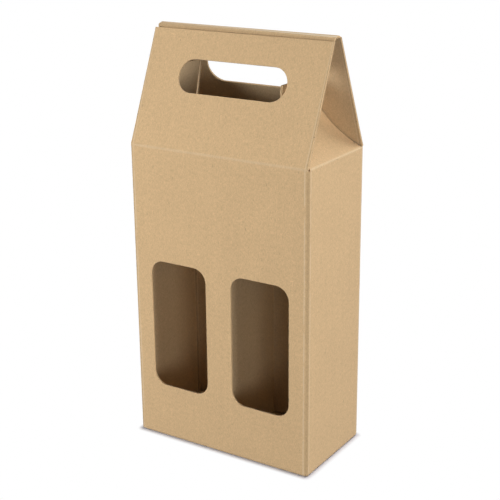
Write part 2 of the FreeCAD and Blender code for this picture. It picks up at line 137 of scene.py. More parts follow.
FOLDS_AT = (plan_ends[1:-1:2] + plan_ends[2::2]) / 2
for name, (first, last) in wall_span.items():
    print("%-6s from %.1f to %.1f mm along the sheet" % (name, first / MM, last / MM))

# %% [markdown]
# ## The upright line of each wall
#
# The second coordinate, `v`, is the height on the upright part of a wall, and goes on as a
# distance over the folds. Below it the sheet turns under the box. The flaps of the side
# walls climb by one board there, because the outer flaps lie under them. At the top the
# side walls go on into the flaps that lean in under the gable. The left flap stands
# steeper than the right one, as flaps that were pushed in by hand do.

# %% The upright lines
CLIMB_RADIUS, CLIMB = 3 * MM, 30
CLIMB_RUN = BOARD / math.sin(math.radians(CLIMB)) - 2 * CLIMB_RADIUS * math.tan(
    math.radians(CLIMB / 2))
CLIMB_END = 0.5 * MM
BASE_RUN = 60 * MM
SHOULDER_RADIUS = 1.5 * MM
FLAP_LENGTH = 76 * MM
# Each side flap's slope at its fold and past its bow, in degrees, and the bow's radius.
FLAPS = {"left": (60, 66, 300 * MM), "right": (27, 82, 75 * MM)}


def upright_line(wall):
    """The line of a wall as (outwards, up), with v = 0 at the floor if it ran straight."""
    foot = fold_step(BASE_RADIUS, 90)
    if wall in FLAPS:
        down, back = fold_step(CLIMB_RADIUS, -CLIMB), fold_step(CLIMB_RADIUS, CLIMB)
        under = [(BASE_RUN, 0), down, (CLIMB_RUN, 0), back, (CLIMB_END, 0), foot]
    else:
        under = [(BASE_RUN, 0), foot]
    run = sum(length for length, _ in under)
    reach = folded_line((0, 0), 0, under)[0](np.array([run]))[0][0]
    steps = list(under)
    if wall in FLAPS:
        root, tip, bow = FLAPS[wall]
        tangent = SHOULDER_RADIUS * math.tan(math.radians(90 - root) / 2)
        bow_step = fold_step(bow, tip - root)
        steps += [
            (SHOULDER - BASE_RADIUS - tangent, 0),
            fold_step(SHOULDER_RADIUS, 90 - root),
            (bow_step[0], -bow_step[1]),
            (FLAP_LENGTH - tangent - bow_step[0], 0),
        ]
    else:
        steps += [(SHOULDER, 0)]
    line, ends = folded_line((-reach[0], BASE_RADIUS - reach[1]), 0, steps)
    return (lambda v: line(v + run - BASE_RADIUS)), ends - run + BASE_RADIUS


upright = {wall: upright_line(wall) for wall in ("front", "back", "left", "right", "corner")}
for wall in FLAPS:
    tip = upright[wall][0](upright[wall][1][-1:])[0][0] / MM
    print("the %s flap ends %.1f mm inside the wall and %.1f mm up" % (wall, -tip[0], tip[1]))

# %% [markdown]
# ## Folding
#
# A point of the flat sheet has u, v and a depth below the outer face. The plan line gives
# its place on the floor and the direction outwards, and the wall's upright line gives how
# far out and how high it is. The depth counts against the outer face's own direction, so
# the board keeps its thickness round every fold.

# %% The fold functions
WALL_HOLLOW, PANEL_HOLLOW = 0.35 * MM, 0.3 * MM
WAVE_SHIFT = 0.3
TINY = 1e-7


def fold_round(u, v, depth, plan, line):
    """Point = plan(u) + outward(u) * (n - depth * n') + up * (h - depth * h').

    (n, h) is the upright line's point at v, and (n', h') is the direction its outer face
    looks in, which is its heading turned a quarter to the right.
    """
    ground, plan_heading = plan(u)
    point, heading = line(v)
    out = point[:, 0] - depth * np.sin(heading)
    up = point[:, 1] + depth * np.cos(heading)
    outward = np.stack([np.sin(plan_heading), -np.cos(plan_heading)], 1)
    return np.column_stack([ground + outward * out[:, None], up])


def soft_wave(u, v):
    """Slow hollows of a board panel: a sum of three long sines, brought to 0 to 1."""
    x, y = u / MM, v / MM
    wave = np.sin(x / 31 + y / 57) + np.sin(x / 47 - y / 39 + 1.3) + np.sin(y / 71 + x / 83)
    return (wave + 3) / 6


def carton_fold(uv, depth):
    """Folds the walls, the base flaps and the side flaps. Slow hollows lie inwards."""
    u, v = uv.T
    low, high = 0.04 * SHOULDER, 0.06 * SHOULDER
    fade = np.clip((v - low) / low, 0, 1) * np.clip((SHOULDER - v) / high, 0, 1)
    nearest = np.abs(u[:, None] - FOLDS_AT).min(1)
    fade = fade * np.clip((nearest - 4 * MM) / (14 * MM), 0, 1)
    depth = depth + WALL_HOLLOW * fade * soft_wave(u, v)
    points = fold_round(u, v, depth, plan_line, upright["corner"][0])
    for wall, (first, last) in wall_span.items():
        if wall == "glue":
            continue
        here = (u > first + TINY) & ((u < last - TINY) | (wall == "back"))
        if here.any():
            points[here] = fold_round(u[here], v[here], depth[here], plan_line,
                                      upright[wall][0])
    return points


# %% [markdown]
# ## Nets
#
# A net is a set of corners and four-sided faces on the flat sheet. A plain one is every u
# against every v. Round a window, faces run from a rectangle of the net to the rounded edge
# of the cut, so the die line is smooth without very many faces. Cutting with a boolean
# would also make the hole, but it leaves long thin faces that catch the light.

# %% Helpers for nets
MARGIN = 6 * MM


def spread(first, last, step):
    """Even numbers from first to last, about a step apart."""
    return np.linspace(first, last, max(int(round(abs(last - first) / step)), 1) + 1)


def joined(*runs):
    """Runs of numbers as one rising list, without the doubles where two runs meet."""
    return np.unique(np.round(np.concatenate(runs), 7))


def lines(stops, steps):
    """Numbers from stop to stop, with a step for each run between two stops."""
    return joined(*[spread(*run) for run in zip(stops[:-1], stops[1:], steps)])


def part_of(values, first, last):
    """The numbers from first to last, with both ends."""
    return values[(values > first - TINY) & (values < last + TINY)]


def net(u, v):
    """Corners and faces of a grid whose corners are (u, v), arrays that fit each other."""
    u, v = np.broadcast_arrays(u, v)
    number = np.arange(u.size).reshape(u.shape)
    quads = np.stack([number[:-1, :-1], number[1:, :-1], number[1:, 1:], number[:-1, 1:]], -1)
    return np.stack([u, v], -1).reshape(-1, 2), quads.reshape(-1, 4)


def box_round(u, v, half):
    """The net's rectangle (u0, u1, v0, v1) round a hole with this middle and half size."""
    across, up = half[0] + MARGIN, half[1] + MARGIN
    return tuple(np.round([u - across, u + across, v - up, v + up], 7))


def without(patch, box):
    """A patch without the faces whose middles are in the box."""
    corners, quads = patch
    middle = corners[quads].mean(1)
    inside = ((middle > box[::2]) & (middle < box[1::2])).all(1)
    return corners, quads[~inside]


def hole_net(us, vs, box, half, radius):
    """Faces between a rectangle of the net and a rounded hole in its middle.

    A corner on the rectangle goes to the nearest point of the hole's edge: the nearest
    point of the hole's inner rectangle, plus the radius towards the corner.
    """
    across, along = part_of(us, *box[:2]), part_of(vs, *box[2:])
    u = np.concatenate([across, np.full(len(along) - 2, box[1]), across[::-1],
                        np.full(len(along) - 2, box[0])])
    v = np.concatenate([np.full(len(across), box[2]), along[1:-1],
                        np.full(len(across), box[3]), along[-2:0:-1]])
    middle = (np.array(box[::2]) + box[1::2]) / 2
    rim = np.stack([u, v], 1)
    inner = np.clip(rim - middle, radius - np.array(half), np.array(half) - radius)
    away = rim - middle - inner
    edge = middle + inner + radius * away / np.linalg.norm(away, axis=1)[:, None]
    shares = np.array([1, 0.6, 0.25, 0])[:, None]
    rows = edge[:, None] + (rim - edge)[:, None] * shares
    rows = np.concatenate([rows, rows[:1]])
    return net(rows[..., 0], rows[..., 1])


# %% [markdown]
# ## From a net to a board
#
# Board is not a sheet without thickness. Each net becomes an outer liner, an inner liner
# and a cut edge all round. A die crushes the edge a little, so the liners roll over before
# the cut. The Solidify modifier could give thickness, but it knows nothing of the fold's
# radius or of the rolled edge, and here every corner also keeps its place on the sheet.

# %% Helpers that make a board
EDGE_ROLL, JOINED_ROLL, EDGE_FLAT = 0.35 * MM, 0.03 * MM, 0.6 * MM
SAME_PLACE = 0.002 * MM
SHARPEST_MITRE = 1.2
SHARP_ANGLE = math.radians(40)


def new_object(name, data):
    """An object with its data, linked to the scene."""
    made = bpy.data.objects.new(name, data)
    bpy.context.scene.collection.objects.link(made)
    return made


def merged(patches):
    """Joins patches into one net and lets corners at the same place be one corner."""
    corners = np.concatenate([p[0] for p in patches])
    starts = np.cumsum([0] + [len(p[0]) for p in patches[:-1]])
    quads = np.concatenate([p[1] + s for p, s in zip(patches, starts)])
    _, first, number = np.unique(np.round(corners / SAME_PLACE).astype(np.int64), axis=0,
                                 return_index=True, return_inverse=True)
    quads = number.reshape(-1)[quads]
    used, number = np.unique(quads, return_inverse=True)
    return corners[first][used], number.reshape(-1, 4)


def rim_of(corners, quads):
    """The rim's directed sides, its corners, and the mitred direction outwards at each."""
    sides = np.concatenate([quads[:, [k, (k + 1) % 4]] for k in range(4)])
    count = len(corners)
    rim = sides[~np.isin(sides[:, 0] * count + sides[:, 1], sides[:, 1] * count + sides[:, 0])]
    run = corners[rim[:, 1]] - corners[rim[:, 0]]
    out = np.stack([run[:, 1], -run[:, 0]], 1) / np.linalg.norm(run, axis=1)[:, None]
    total = np.zeros_like(corners)
    np.add.at(total, rim[:, 0], out)
    np.add.at(total, rim[:, 1], out)
    which = np.unique(rim)
    direction = total[which]
    length = np.maximum((direction ** 2).sum(1), SHARPEST_MITRE)
    return rim, which, direction * (2 / length)[:, None]


def make_board(name, patches, fold, corner=(0, 0), joins=None):
    """Makes a closed board from patches of the flat sheet and a fold function.

    Corner is the place of the patches' own origin on the whole sheet. The rim goes over
    from the outer to the inner face in eight rows: a flat margin, the rolled liner, the cut
    itself, and the same back. The UV map holds u and v in metres on the liners, and u and
    the depth on the cut, so the flutes' waves stand where they are. Where joins says so,
    the rim isn't rolled, because another piece goes on from there.
    """
    corners, quads = merged(patches)
    rim, which, out = rim_of(corners, quads)
    roll_at = np.full(len(which), EDGE_ROLL)
    if joins is not None:
        roll_at[joins(corners[which])] = JOINED_ROLL
    flat = EDGE_FLAT + roll_at
    soft = roll_at * (1 - math.sqrt(0.5))
    zero = roll_at * 0
    insets = [roll_at, soft, zero, zero, soft, roll_at]
    depths = [zero, soft, roll_at, BOARD - roll_at, BOARD - soft, zero + BOARD]
    moved = corners.copy()
    moved[which] -= out * flat[:, None]
    rows = [(corners[which] - out * inset[:, None], depth)
            for inset, depth in zip(insets, depths)]
    places = [(moved, np.zeros(len(moved)))] + rows + [(moved, np.full(len(moved), BOARD))]
    points = np.concatenate([fold(uv, depth) for uv, depth in places])
    sheet_uv = np.concatenate([uv for uv, _ in places]) + np.array(corner)
    sheet_depth = np.concatenate([depth for _, depth in places])

    count, edge_count = len(corners), len(which)
    index = np.zeros(count, int)
    index[which] = np.arange(edge_count)
    row_number = [rim] + [count + k * edge_count + index[rim] for k in range(6)]
    row_number.append(count + 6 * edge_count + rim)
    strips = [np.stack([b[:, 1], b[:, 0], a[:, 0], a[:, 1]], 1)
              for b, a in zip(row_number[:-1], row_number[1:])]
    inner = quads[:, ::-1] + count + 6 * edge_count
    faces = np.concatenate([quads, inner] + strips)
    # The materials are 0 for the outer liner, 1 for the inner one and 2 for the cut.
    kinds = np.repeat([0, 1, 0, 0, 2, 2, 2, 1, 1], [len(quads)] * 2 + [len(rim)] * 7)

    mesh = bpy.data.meshes.new(name)
    mesh.from_pydata(points.tolist(), [], faces.tolist())
    mesh.polygons.foreach_set("material_index", kinds.astype(np.int32))
    loops = faces.ravel()
    loop_uv = sheet_uv[loops]
    on_cut = np.repeat(kinds == 2, 4)
    loop_uv[on_cut, 1] = sheet_depth[loops][on_cut]
    layer = mesh.uv_layers.new(name="sheet")
    layer.data.foreach_set("uv", loop_uv.astype(np.float32).ravel())
    for word, values in creases(sheet_uv).items():
        attribute = mesh.attributes.new(word, "FLOAT", "POINT")
        attribute.data.foreach_set("value", values.astype(np.float32))
    mesh.polygons.foreach_set("use_smooth", np.ones(len(faces), bool))
    mesh.update()
    mesh.set_sharp_from_angle(angle=SHARP_ANGLE)
    piece = new_object(name, mesh)
    for material in (kraft_outside, kraft_inside, fluted_cut):
        mesh.materials.append(material)
    print("%-14s %6d corners, %6d faces" % (name, len(points), len(faces)))
    return piece


# %% [markdown]
# ## Where the creases are
#
# The paper looks different at its folds. An upright fold is darker on its round, partly crushed
# paper and partly painted shade, with a painted highlight line beside it, and the shoulder is
# rubbed light. The narrow ridge strip has a painted highlight near its back fold, wider and paler
# towards the right, and painted shade towards its front fold, where the front panel's edge shades
# it. Along the side cuts of the gable panels run a line of painted shade and a line of painted
# highlight. Attributes carry the distances to all of these, how much a shoulder crease is worn
# and how bright the ridge's highlight is, and how much painted shade lies on the ridge strip, and
# the materials draw the marks.

# %% The crease distances
FAR = 12 * MM
PANEL_HALF = 89 * MM
# The ridge's value is a painted highlight, paler towards the right; the front and side values are
# the wear of the shoulder crease.
RIDGE_HIGHLIGHT, FRONT_WEAR, SIDE_WEAR, HIGHLIGHT_CHANGE = 0.75, 0.23, 0.27, 0.7
STRIP_START, STRIP_FULL_SHADE, STRIP_END = SHOULDER + 109.4 * MM, 8.3 * MM, 10.8 * MM
HIGHLIGHT_WIDTH, WIDTH_CHANGE, NEAR_RIDGE = 4.5 * MM, 1.5 * MM, 20 * MM
PALEST_AT, NARROWS_OVER = 0.7, 100 * MM
front_middle = sum(wall_span["front"]) / 2
back_middle = wall_span["back"][0] + WIDTH / 2 - CORNER_RADIUS
CREASE_WORDS = ("upright_fold", "level_crease", "side_cut", "shadowed", "crease_wear")


def creases(uv):
    """Distances to folds, level creases and the panels' side cuts, each shoulder crease's wear,
    and the ridge strip's painted highlight and painted shade.

    The distance to a side cut grows faster with height, so that its marks narrow upwards. On the
    ridge strip the painted highlight is wider and paler towards the right, and painted shade
    grows towards its front fold.
    """
    u, v = uv.T
    fold = np.abs(u[:, None] - FOLDS_AT).min(1)
    to_right = np.clip((back_middle - u) / PANEL_HALF, -1, 1)
    # The width of the ridge strip's painted highlight, wider towards the right.
    highlight_to = HIGHLIGHT_WIDTH + WIDTH_CHANGE * to_right
    on_strip = v - STRIP_START
    level = np.minimum(np.abs(v - SHOULDER), np.abs(on_strip - PALEST_AT * highlight_to))
    # Painted shade on the ridge strip, growing towards its front fold, where the front panel's
    # edge shades it.
    shadowed = np.clip((on_strip - highlight_to) / (STRIP_FULL_SHADE - highlight_to), 0, 1)
    from_middle = np.minimum(np.abs(u - front_middle), np.abs(u - back_middle))
    on_panel = from_middle < PANEL_HALF + MM
    on_wall = (v < SHOULDER) & (v > 0)
    narrowing = 1 + (v - SHOULDER) / NARROWS_OVER
    side_cut = np.where(on_panel & (v > SHOULDER), (PANEL_HALF - from_middle) * narrowing, FAR)
    return {"upright_fold": np.where(on_wall, np.clip(fold, 0, FAR), FAR),
            "level_crease": np.clip(level, 0, FAR),
            "side_cut": np.clip(side_cut, 0, FAR),
            "shadowed": np.where(on_strip < STRIP_END, shadowed, 0.0),
            # Wear of the shoulder crease, and on the ridge a painted highlight that is paler
            # towards the right.
            "crease_wear": np.where(
                on_strip > -NEAR_RIDGE, RIDGE_HIGHLIGHT * (1 + HIGHLIGHT_CHANGE * to_right),
                np.where(on_panel, FRONT_WEAR, SIDE_WEAR))}


# %% [markdown]
# ## Kraft paper
#
# Brown kraft paper is not one colour. Wood fibres make a fine grain, the pulp is a little
# cloudy, and a few fibres are much darker or lighter. Each effect is noise at its own size,
# in the sheet's coordinates, so it goes round a fold with the paper. The outside, the
# inside and the cut use the same effect with other values, so it is a node group.

# %% Helpers for nodes
def new_group(name, inputs, outputs):
    """A node group from {name: kind of socket}: its tree, what it is given, its result."""
    tree = bpy.data.node_groups.new(name, "ShaderNodeTree")
    for way, sockets in (("INPUT", inputs), ("OUTPUT", outputs)):
        for word, kind in sockets.items():
            tree.interface.new_socket(word, in_out=way, socket_type="NodeSocket" + kind)
    given = tree.nodes.new("NodeGroupInput").outputs
    return tree, given, tree.nodes.new("NodeGroupOutput")


def add(tree, kind, **values):
    """Adds a node and sets its properties."""
    node = tree.nodes.new("ShaderNode" + kind)
    for word, value in values.items():
        setattr(node, word, value)
    return node


def feed(tree, node, *values, **sockets):
    """Links or sets a node's inputs, by their order or by name, with _ for a space.

    A value of None leaves its input as it is.
    """
    for place, value in [*enumerate(values), *sockets.items()]:
        socket = node.inputs[place if isinstance(place, int) else place.replace("_", " ")]
        if isinstance(value, bpy.types.NodeSocket):
            tree.links.new(value, socket)
        elif value is not None:
            socket.default_value = value
    return node


def maths(tree, name, *values):
    """The result of one Math node."""
    return feed(tree, add(tree, "Math", operation=name), *values).outputs[0]


def operation(name):
    """A helper for one operation of the Math node."""
    return lambda tree, *values: maths(tree, name, *values)


times, plus, minus = operation("MULTIPLY"), operation("ADD"), operation("SUBTRACT")
larger, smaller = operation("MAXIMUM"), operation("MINIMUM")


def vector_maths(tree, name, *values):
    """The outputs of one Vector Math node: the first a vector, and Value a number."""
    return feed(tree, add(tree, "VectorMath", operation=name), *values).outputs


def noise(tree, vector, scale, detail=3.0, stretch=(1, 1, 1)):
    """Noise from 0 to 1, with its features about 1 / scale metres wide."""
    mapping = feed(tree, add(tree, "Mapping"), Vector=vector, Scale=stretch)
    node = feed(tree, add(tree, "TexNoise"), Vector=mapping.outputs[0], Scale=scale,
                Detail=detail, Roughness=0.6)
    return node.outputs["Fac"]


def smooth_range(tree, value, low, high, to_low=0.0, to_high=1.0):
    """Maps low..high to to_low..to_high with soft ends."""
    node = add(tree, "MapRange", interpolation_type="SMOOTHSTEP")
    return feed(tree, node, value, low, high, to_low, to_high).outputs[0]


def around(tree, value, middle, inside, outside):
    """1 where the value is as near the middle as inside, and 0 beyond outside."""
    off = maths(tree, "ABSOLUTE", minus(tree, value, middle))
    return smooth_range(tree, off, inside, outside, 1.0, 0.0)


def scaled(tree, colour, factor):
    """A colour times a number."""
    return feed(tree, add(tree, "VectorMath", operation="SCALE"), colour,
                Scale=factor).outputs[0]


def mixed(tree, factor, first, second):
    """A mix of two colours, which are the Mix node's inputs 6 and 7."""
    node = add(tree, "Mix", data_type="RGBA")
    return feed(tree, node, factor, *[None] * 5, first, second).outputs[2]


# %% The paper group
def make_paper_group():
    """Kraft paper's colour, roughness and height from the sheet's coordinates."""
    tree, given, result = new_group(
        "Kraft paper", dict(Sheet="Vector", Paper="Color", Grain="Float", Cloud="Float",
                            Flecks="Float"),
        dict(Color="Color", Roughness="Float", Height="Float"))
    sheet = given["Sheet"]
    fibres = noise(tree, sheet, 900, 4, (1, 0.45, 1))
    cross = noise(tree, sheet, 1500, 3, (0.5, 1, 1))
    cloud = noise(tree, sheet, 230, 3)
    wide = noise(tree, sheet, 28, 2)
    streak = noise(tree, sheet, 260, 2, (1, 0.03, 1))
    grain = minus(tree, plus(tree, fibres, cross), 1.0)
    slow = times(tree, plus(tree, wide, streak), 0.4)
    clouds = minus(tree, plus(tree, cloud, slow), 0.9)
    tone = plus(tree, times(tree, grain, given["Grain"]), times(tree, clouds, given["Cloud"]))
    base = scaled(tree, given["Paper"], plus(tree, 1.0, tone))
    dark = smooth_range(tree, noise(tree, sheet, 620, 2, (1, 0.22, 1)), 0.66, 0.74)
    light = smooth_range(tree, noise(tree, sheet, 560, 2, (0.25, 1, 1)), 0.67, 0.75)
    darker = mixed(tree, times(tree, dark, given["Flecks"]), base, scaled(tree, base, 0.62))
    lighter = mixed(tree, times(tree, light, given["Flecks"]), darker,
                    scaled(tree, darker, 1.22))
    feed(tree, result, Color=lighter, Roughness=smooth_range(tree, fibres, 0.3, 0.7, 0.94, 0.82),
         Height=plus(tree, fibres, times(tree, cross, 0.6)))
    return tree


paper_group = make_paper_group()
print(paper_group.name, len(paper_group.nodes), "nodes")

# %% [markdown]
# ## Marks of the folds
#
# An upright fold shows as a darker round band, partly crushed paper and partly painted shade,
# with a painted highlight line where the panel begins, and a level crease as one light line:
# rubbed paper at the shoulder, painted highlight on the ridge strip. Along a panel's side cut run
# a line of painted shade and a line of painted highlight, and the front part of the ridge strip
# is darkened by painted shade.
# A little noise keeps the lines from looking ruled.

# %% The fold group
# The pale colour of rubbed paper, also used for the painted highlight lines beside folds and side
# cuts and on the ridge strip.
RUBBED_AND_HIGHLIGHT = (0.74, 0.60, 0.41, 1)
# Strengths of the darker and paler marks. The fold band is partly crushed paper and partly
# painted shade; the shades beside side cuts and on the ridge strip are painted shade, and the
# fold and cut lines are painted highlight.
FOLD_SHADE, CUT_SHADE, GROOVE_SHADE = 0.2, 0.16, 0.27
FOLD_LINE, CUT_LINE = 0.45, 0.33


def make_fold_group():
    """Darkens and lightens a paper's colour along its folds, partly as wear and partly as painted
    shade and painted highlight.
    """
    tree, given, result = new_group(
        "Fold marks and painted light", dict({word.replace("_", " "): "Float" for word in CREASE_WORDS},
                           Color="Color", Sheet="Vector"), dict(Color="Color"))
    sheet, cut, level = given["Sheet"], given["side cut"], given["level crease"]
    waver = times(tree, minus(tree, noise(tree, sheet, 90, 2), 0.5), 0.9 * MM)
    distance = plus(tree, given["upright fold"], waver)
    # The band on a fold's round is darker: partly crushed paper, partly painted shade.
    band = smooth_range(tree, distance, 0.9 * MM, 2.3 * MM, 1.0, 0.0)
    # Painted shade in a line beside a panel's side cut.
    painted_cut_shade = around(tree, cut, 1.2 * MM, 0.2 * MM, 0.8 * MM)
    shade = larger(tree, times(tree, band, FOLD_SHADE), times(tree, painted_cut_shade, CUT_SHADE))
    # Painted shade on the front part of the ridge strip.
    shade = larger(tree, shade, times(tree, given["shadowed"], GROOVE_SHADE))
    # A painted highlight line where the panel begins beside an upright fold.
    line = around(tree, distance, 3.0 * MM, 0.2 * MM, 0.9 * MM)
    # A painted highlight line beside a panel's side cut, where a lit cut edge would show.
    painted_cut_highlight = around(tree, cut, 2.4 * MM, 0.3 * MM, 0.9 * MM)
    patchy = smooth_range(tree, noise(tree, sheet, 160, 3, (1, 0.3, 1)), 0.3, 0.5)
    # A light line along a level crease: rubbed paper at the shoulder, painted highlight on the
    # ridge strip.
    crease = around(tree, level, waver, 0.4 * MM, 1.8 * MM)
    pale = times(tree, FOLD_LINE, times(tree, line, patchy))
    pale = larger(tree, pale, times(tree, painted_cut_highlight, CUT_LINE))
    pale = larger(tree, pale, times(tree, crease, given["crease wear"]))
    darkened = scaled(tree, given["Color"], minus(tree, 1.0, shade))
    feed(tree, result, Color=mixed(tree, pale, darkened, RUBBED_AND_HIGHLIGHT))
    return tree


fold_group = make_fold_group()
print(fold_group.name, len(fold_group.nodes), "nodes")

# %% [markdown]
# ## The materials
#
# Three faces of the board need a finish: the outer liner, the inner liner and the cut. The liners
# share the paper group. Flutes stand upright in the walls and show through the paper as a very
# faint washboard, a sine across the sheet. The cut shows the two liners with the fluted paper
# waving between them: a line whose place in the depth is a sine of u. The hollows between them
# are darker, painted shade for the open flutes.

# %% The materials
FLUTE_PITCH = 3.2 * MM
# A nick's place, in from the side and above the shoulder.
PANEL_NICK, FLAP_NICK = (0.5 * MM, 27 * MM), (3 * MM, 7 * MM)
NICKS = [(middle + side * (PANEL_HALF - PANEL_NICK[0]), SHOULDER + PANEL_NICK[1])
         for middle in (front_middle, back_middle) for side in (-1, 1)]
NICKS += [(edge, SHOULDER + FLAP_NICK[1]) for wall in FLAPS
          for edge in wall_span[wall] + np.array([1, -1]) * FLAP_NICK[0]]
OUTSIDE = (0.622, 0.426, 0.226, 1)
INSIDE = (0.580, 0.425, 0.250, 1)


def new_material(name):
    """A material with its Principled shader and, from the UV map, the sheet's coordinates."""
    material = bpy.data.materials.new(name)
    material.use_nodes = True
    tree = material.node_tree
    shader = tree.nodes["Principled BSDF"]
    feed(tree, shader, Specular_IOR_Level=0.3, Sheen_Weight=0.12, Sheen_Roughness=0.5)
    return material, tree, shader, add(tree, "UVMap", uv_map="sheet").outputs[0]


def across_flutes(tree, sheet):
    """The flutes' wave, sin(2 pi u / pitch), and the second coordinate."""
    parts = feed(tree, add(tree, "SeparateXYZ"), Vector=sheet).outputs
    return maths(tree, "SINE", times(tree, parts[0], 2 * math.pi / FLUTE_PITCH)), parts[1]


def finished(tree, shader, colour, fibre, height, distance):
    """Gives a shader its colour, roughness and bump, whose height of 1 is that distance."""
    bump = feed(tree, add(tree, "Bump"), Strength=0.6, Distance=distance, Height=height)
    feed(tree, shader, Base_Color=colour, Roughness=fibre["Roughness"], Normal=bump.outputs[0])


def nick_marks(tree, sheet):
    """1 on the small torn spots where nicks held the blank in its waste sheet."""
    nearest = 1.0
    for u, v in NICKS:
        off = vector_maths(tree, "DISTANCE", sheet, (u, v, 0))["Value"]
        nearest = smaller(tree, nearest, off)
    return smooth_range(tree, nearest, 0.2 * MM, 0.75 * MM, 1.0, 0.0)


def kraft(tree, sheet, paper, grain, cloud, flecks):
    """The outputs of the paper group."""
    return feed(tree, add(tree, "Group", node_tree=paper_group), Sheet=sheet, Paper=paper,
                Grain=grain, Cloud=cloud, Flecks=flecks).outputs


def make_liner(name, paper, washboard):
    """A liner: kraft paper with its fold marks, which are partly painted shade and painted
    highlight, and a faint washboard of flutes.
    """
    material, tree, shader, sheet = new_material(name)
    fibre = kraft(tree, sheet, paper, 0.5, 0.22, 0.6)
    stored = {word: add(tree, "Attribute", attribute_name=word).outputs["Fac"]
              for word in CREASE_WORDS}
    colour = feed(tree, add(tree, "Group", node_tree=fold_group), Color=fibre["Color"],
                  Sheet=sheet, **stored).outputs[0]
    board = times(tree, across_flutes(tree, sheet)[0], washboard)
    height = plus(tree, times(tree, fibre["Height"], 0.5), board)
    colour = mixed(tree, nick_marks(tree, sheet), colour, scaled(tree, colour, 0.4))
    finished(tree, shader, colour, fibre, height, 0.08 * MM)
    return material


def make_cut(name):
    """The cut edge: two liners, and the fluted paper as a wave between them, with painted shade
    in the hollows.
    """
    material, tree, shader, sheet = new_material(name)
    fibre = kraft(tree, sheet, OUTSIDE, 0.2, 0.05, 0.4)
    flutes, depth = across_flutes(tree, sheet)
    middle = maths(tree, "MULTIPLY_ADD", flutes, 0.29 * BOARD, BOARD / 2)
    wave = around(tree, depth, middle, 0.12 * MM, 0.3 * MM)
    liner = minus(tree, 1.0, around(tree, depth, BOARD / 2, 0.52 * MM, 0.66 * MM))
    paper = larger(tree, wave, liner)
    # Darker where there is no paper: painted shade in the flutes' hollows.
    colour = mixed(tree, paper, scaled(tree, fibre["Color"], 0.7),
                   scaled(tree, fibre["Color"], 1.25))
    finished(tree, shader, colour, fibre, paper, 0.3 * MM)
    return material


kraft_outside = make_liner("kraft_outside", OUTSIDE, 0.10)
kraft_inside = make_liner("kraft_inside", INSIDE, 0.35)
fluted_cut = make_cut("fluted_cut")
print("materials", [m.name for m in bpy.data.materials])

# %% [markdown]
# ## The folded sheet
#
# This is the largest piece: the four walls with the two windows, the glue strip, the four
# base flaps and the two side flaps, one closed board as on the real box. The net's lines
# are close together on the folds and round the windows, and wide apart elsewhere.

# %% The lines of the walls' net
WINDOW = (58.5 * MM / 2, 120.5 * MM / 2)
WINDOW_SILL, WINDOW_PITCH, WINDOW_RADIUS = 52 * MM, 84.5 * MM, 13 * MM
HINGE = 1.2 * MM
TOP, LOW = SHOULDER - HINGE, BASE_RADIUS + BOARD
WALL_STEP, SIDE_STEP, WINDOW_STEP, FOLD_STEP = 4 * MM, 4.5 * MM, 2.4 * MM, 0.6 * MM
BESIDE_FOLD = np.array([0.9, 2.2]) * MM
window_boxes = [box_round(front_middle + s * WINDOW_PITCH / 2, WINDOW_SILL + WINDOW[1], WINDOW)
                for s in (-1, 1)]
# Points (x, y) of the line where the outer base flaps lock.
LOCK = np.array([(-35, -12), (-23, 20), (23, 20), (35, -12)]) * MM
FLAP_HALF = 82 * MM
lock_columns = LOCK[:, 0] * (WIDTH / 2 - CORNER_RADIUS) / FLAP_HALF


def near_folds(first, last):
    """Lines over a round fold and on both sides of it."""
    return np.concatenate([spread(first, last, FOLD_STEP), first - BESIDE_FOLD,
                           last + BESIDE_FOLD])


fold_lines = joined(*[near_folds(a, b) for a, b in zip(plan_ends[1:-1:2], plan_ends[2::2])])
us = [fold_lines, [plan_ends[0], plan_ends[-1]]]
for wall, (first, last) in wall_span.items():
    low = first + CORNER_RADIUS * (wall != "glue")
    high = last - CORNER_RADIUS * (wall != "back")
    if wall == "front":
        stops = sorted({low, high} | {x for b in window_boxes for x in b[:2]})
        us.append(lines(stops, [WINDOW_STEP] * len(stops)))
    else:
        us.append(spread(low, high, SIDE_STEP))
back_flap_end = plan_ends[-1] - CORNER_RADIUS
us = joined(*us, [back_flap_end], front_middle + lock_columns, back_middle + lock_columns)
v_stops = [LOW, GLUE_LOW, *window_boxes[0][2:], GLUE_HIGH, TOP]
v_steps = [WALL_STEP, WALL_STEP, WINDOW_STEP, WALL_STEP, WALL_STEP]
vs = lines(v_stops, v_steps)
print(len(us), "by", len(vs), "lines")

# %% [markdown]
# The flaps are patches that start on a row of the walls' net and then go their own way.
# Their lines narrow or lengthen by a function of how far they are from the fold: the side
# flaps follow the slope of the gable, the base flaps end on the line where they lock, and
# the glue strip has slanted ends.

# %% The patches of the folded sheet
NEAR_END, OUTER_ROWS, FLAP_PLAY = 0.3 * MM, 12, 0.2 * MM


def between(values, first, last):
    """The lines between first and last, but none very near them, and the two themselves."""
    inside = values[(values > first + NEAR_END) & (values < last - NEAR_END)]
    return np.concatenate([[first], inside, [last]])


def wall_patches():
    """The upright walls with their windows, and the slanted glue strip."""
    strip_end = wall_span["glue"][1]
    walls = net(part_of(us, strip_end, us[-1])[:, None], vs)
    for box in window_boxes:
        walls = without(walls, box)
    holes = [hole_net(us, vs, box, WINDOW, WINDOW_RADIUS) for box in window_boxes]
    strip_v = part_of(vs, GLUE_LOW, GLUE_HIGH)
    middle = strip_v.mean()
    u = part_of(us, us[0], strip_end)[:, None]
    slant = 1 - GLUE_SLANT * (strip_end - u) / GLUE_RUN
    return [walls, net(u, middle + (strip_v - middle) * slant)] + holes


ROOT = BASE_RADIUS * (1 - math.pi / 2)
FOOT = np.concatenate([[LOW], spread(BASE_RADIUS, ROOT, FOLD_STEP)])
CORNER_FOOT = FOOT[:-2]
INNER_LENGTH, INNER_SLANT, INNER_HALF = 59 * MM, 14 * MM, 43.2 * MM


